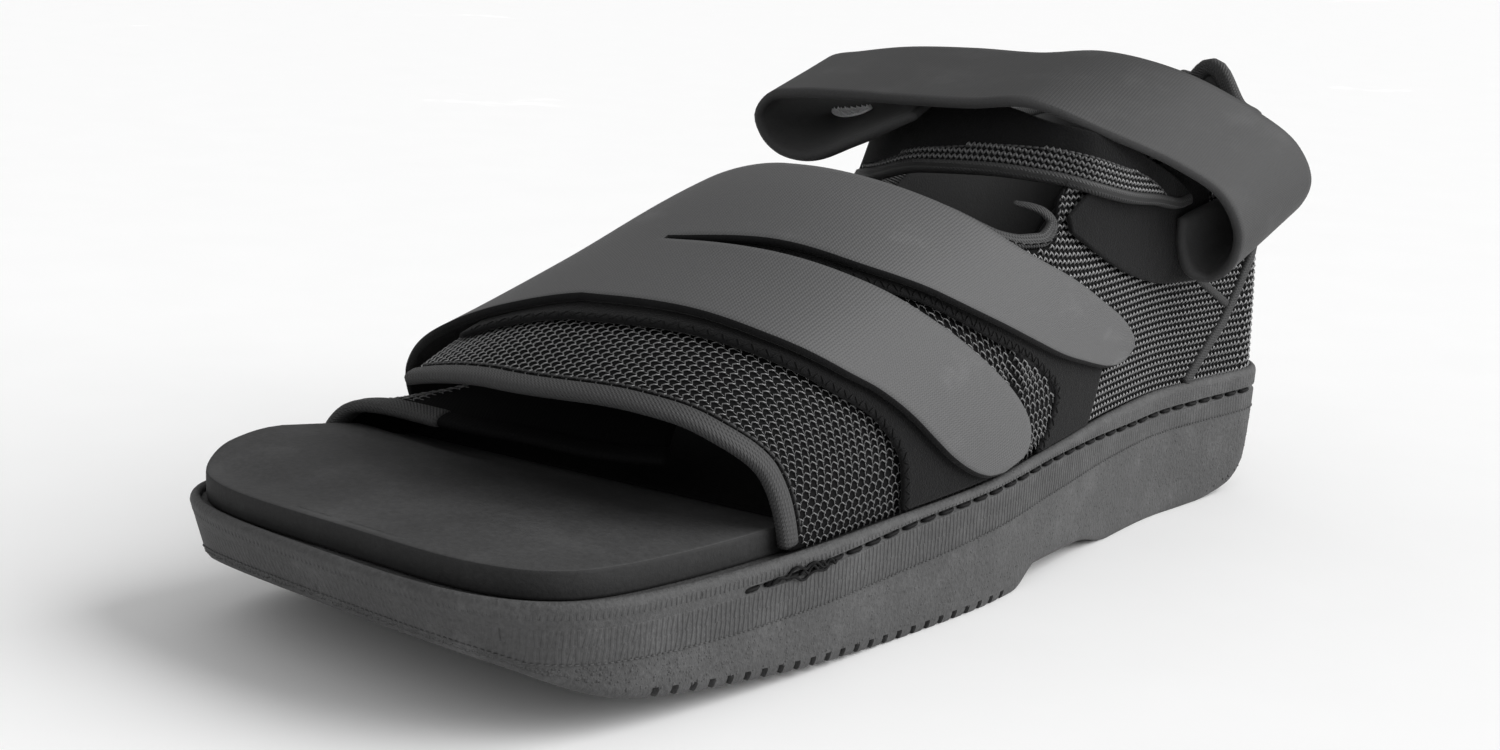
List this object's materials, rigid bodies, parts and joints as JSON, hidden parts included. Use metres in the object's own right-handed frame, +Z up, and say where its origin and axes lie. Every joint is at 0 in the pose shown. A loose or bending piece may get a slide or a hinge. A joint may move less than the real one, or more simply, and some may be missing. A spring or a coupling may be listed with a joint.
{
  "type": "postoperative shoe",
  "caption": "Open-toed postoperative shoe with a square rocker sole, foam footbed, lapped mesh flaps under a slit hook-and-loop strap, mesh rear foot and a loose ankle strap.",
  "frame": {"origin": "on the floor under the centre of the bounding box", "axes": "+Z up, -Y towards the toe, +X towards the outer side of the foot"},
  "size_m": [0.1166, 0.285, 0.1112],
  "materials": {
    "sole": "matt moulded foam rubber",
    "footbed": "matt foam",
    "mesh": "open knitted mesh",
    "tape": "folded woven tape",
    "velour": "loop velour",
    "strap": "fine-grained smooth face",
    "ankle_strap": "fine-grained smooth face"
  },
  "bodies": {
    "root": {"outsole": "sole", "insole": "footbed", "vamp_flap_near": "mesh", "vamp_binding_near": "tape", "vamp_flap_far": "mesh", "vamp_binding_far": "tape", "loop_panel_front": "velour", "loop_panel_rear": "velour", "forefoot_strap": "strap", "quarter_near": "mesh", "quarter_far": "mesh", "heel_counter": "mesh", "heel_piping_near": "tape", "heel_piping_far": "tape", "collar_binding": "tape", "quarter_panel": "velour", "ankle_flap": "mesh", "ankle_flap_binding": "tape", "ankle_strap": "ankle_strap"}
  },
  "joints": []
}
